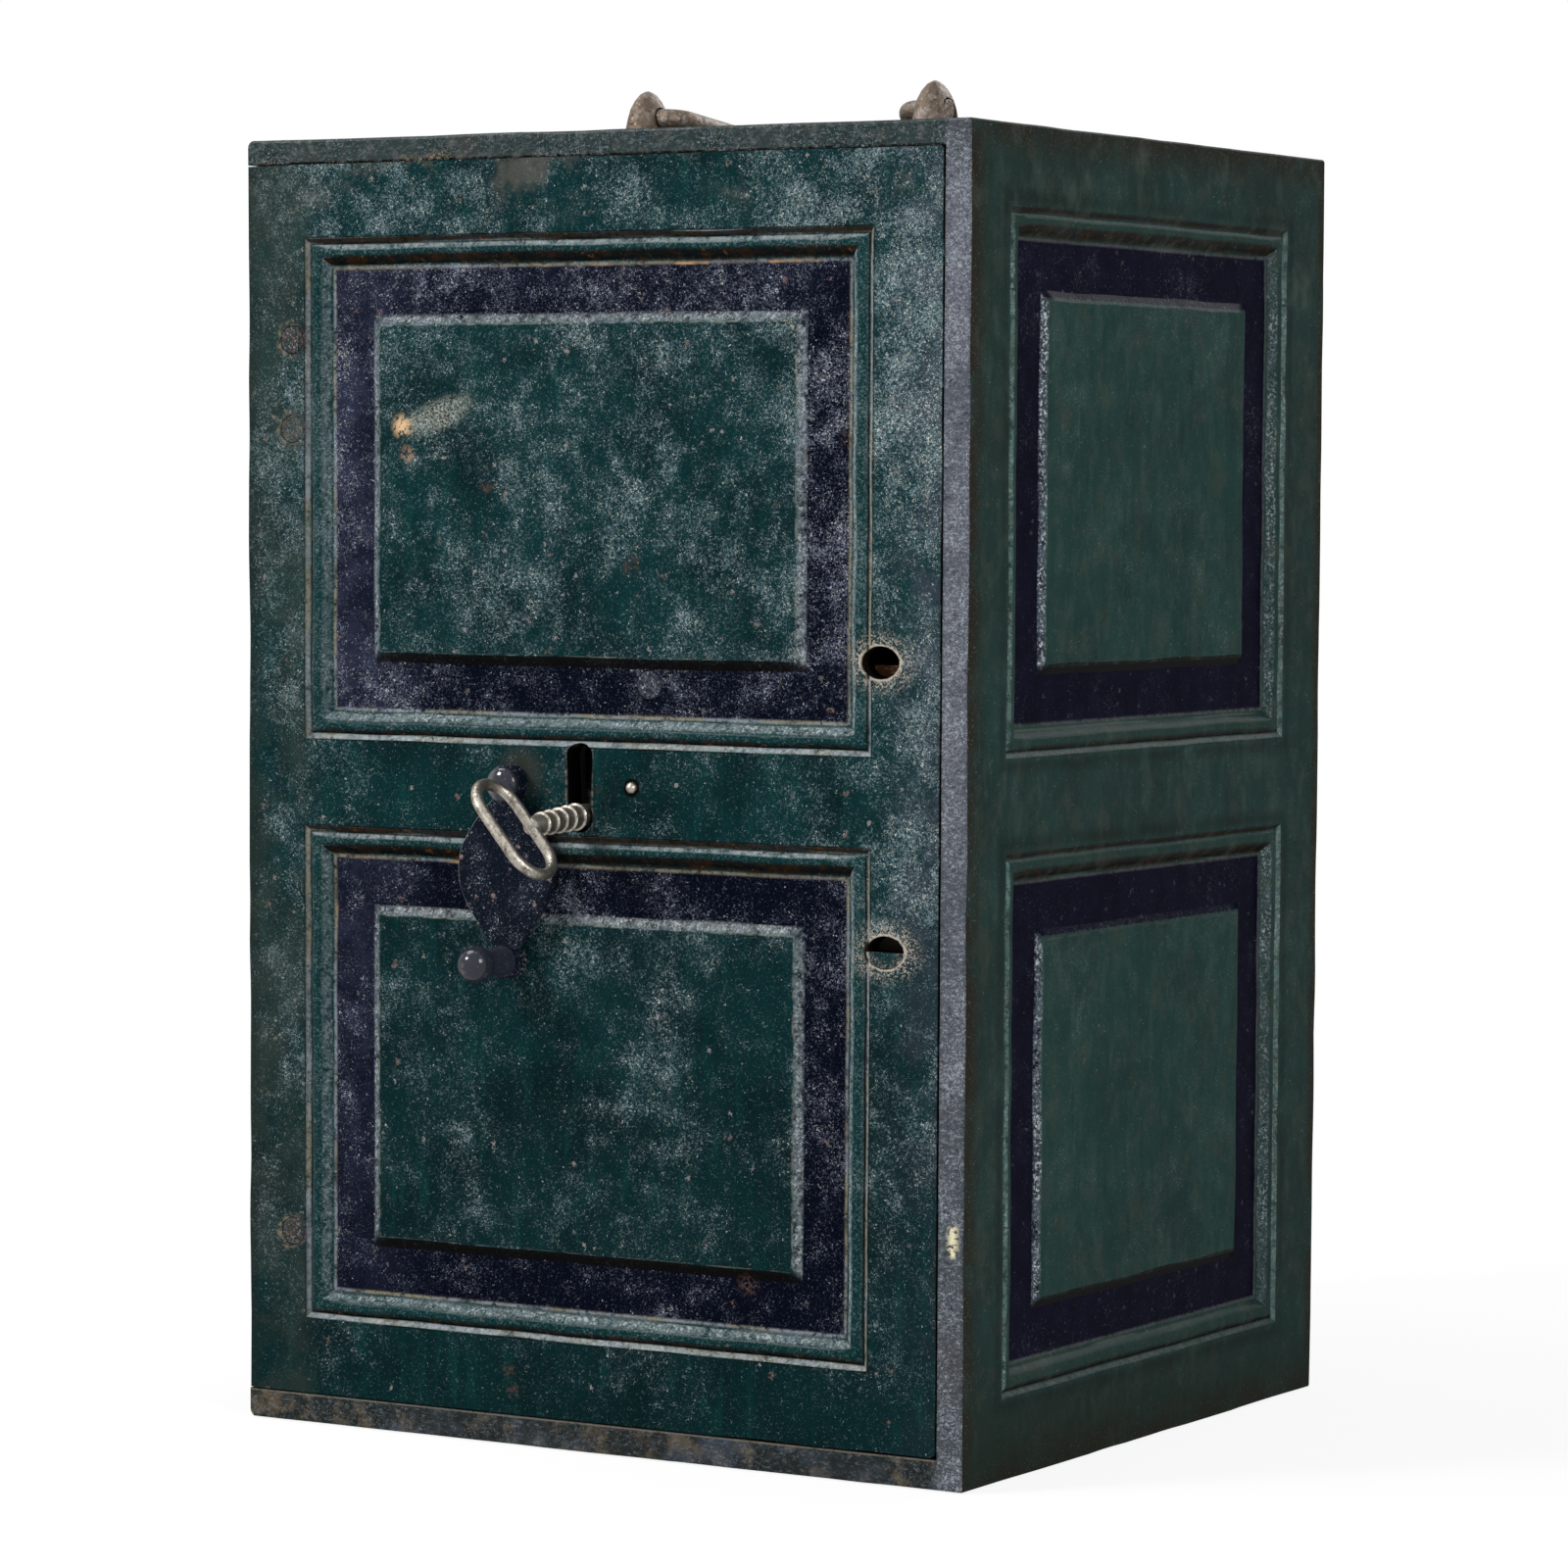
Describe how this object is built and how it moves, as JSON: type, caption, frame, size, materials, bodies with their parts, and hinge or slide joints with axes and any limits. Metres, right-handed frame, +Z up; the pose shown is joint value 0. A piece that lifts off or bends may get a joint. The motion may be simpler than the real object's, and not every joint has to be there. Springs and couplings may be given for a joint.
{
  "type": "iron strongbox",
  "caption": "Plate-iron strongbox with moulded panels, a door on pivot pins, a key-worked bolt lock, a swinging keyhole cover and a folding carrying bail.",
  "frame": {"origin": "centre of the casing's underside", "axes": "+Z up, +X to the right seen from the front, -Y towards the front (the door side)"},
  "size_m": [0.29, 0.3186, 0.4728],
  "materials": {
    "green_paint": "old dark green paint, speckled and worn at the edges",
    "dark_green_paint": "old brownish green paint, speckled",
    "blue_black_paint": "old blue-black paint, worn",
    "worn_steel": "worn bare steel with brown spots",
    "dark_iron": "dark bare iron",
    "browned_iron": "browned iron with a bronze tone, pitted",
    "rusted_iron": "rusted iron"
  },
  "bodies": {
    "casing": {"casing_top": "green_paint", "casing_bottom": "green_paint", "casing_left_side": "dark_green_paint", "casing_right_side": "dark_green_paint", "casing_back": "dark_green_paint", "corner_angle_left": "dark_iron", "corner_angle_right": "dark_iron", "back_rivet_1": "dark_green_paint", "back_rivet_2": "dark_green_paint", "back_rivet_3": "dark_green_paint", "back_rivet_4": "dark_green_paint", "back_rivet_5": "dark_green_paint", "back_rivet_6": "dark_green_paint", "back_rivet_7": "dark_green_paint", "back_rivet_8": "dark_green_paint", "back_rivet_9": "dark_green_paint", "back_rivet_10": "dark_green_paint", "door_stop_right": "dark_iron", "door_stop_top": "dark_iron", "door_stop_bottom": "dark_iron", "hinge_pin_top": "dark_iron", "hinge_pin_bottom": "dark_iron", "lug_left": "browned_iron", "lug_right": "browned_iron"},
    "door": {"door_panel": "green_paint", "hinge_stile_bar": "dark_iron", "stile_rivet_1": "green_paint", "stile_rivet_2": "green_paint", "stile_rivet_3": "green_paint", "broken_plug": "dark_green_paint", "lock_plate": "rusted_iron", "lock_rivet": "blue_black_paint", "lock_case": "dark_iron", "lock_cover": "dark_iron", "lock_screw_1": "worn_steel", "lock_screw_2": "worn_steel", "lock_screw_3": "worn_steel", "lock_screw_4": "worn_steel", "bolt_guide_stump": "worn_steel", "bolt_spring": "worn_steel", "cover_pivot_screw": "blue_black_paint", "catch_spring": "worn_steel"},
    "cover": {"keyhole_cover": "blue_black_paint", "cover_knob": "blue_black_paint"},
    "key": {"key": "worn_steel"},
    "bolt": {"bolt": "worn_steel"},
    "bail": {"bail_handle": "dark_iron"},
    "catch_pin": {"catch_pin": "worn_steel"}
  },
  "joints": [
    {"name": "door_hinge", "type": "hinge", "parent": "casing", "child": "door", "pos_m": [-0.1405, -0.128, 0.225], "axis": [0, 0, -1], "range_deg": [0, 100]},
    {"name": "cover_swing", "type": "hinge", "parent": "door", "child": "cover", "pos_m": [-0.03245, -0.1325, 0.2285], "axis": [0, 1, 0], "range_deg": [-15, 230]},
    {"name": "key_turn", "type": "hinge", "parent": "door", "child": "key", "pos_m": [-0.00575, -0.1325, 0.2182], "axis": [0, 1, 0], "range_deg": [0, 90]},
    {"name": "bolt_slide", "type": "slide", "parent": "door", "child": "bolt", "axis": [1, 0, 0], "range_m": [0, 0.013]},
    {"name": "bail_swing", "type": "hinge", "parent": "casing", "child": "bail", "pos_m": [0, -0.005, 0.462], "axis": [1, 0, 0], "range_deg": [0, 168]},
    {"name": "catch_press", "type": "slide", "parent": "door", "child": "catch_pin", "axis": [0, 1, 0], "range_m": [0, 0.0014], "stiffness_N_per_m": 400, "deforming": ["catch_spring"]}
  ],
  "couplings": [
    {"joint": "key_turn", "follows": "bolt_slide", "rad_per_m": 120.8}
  ]
}
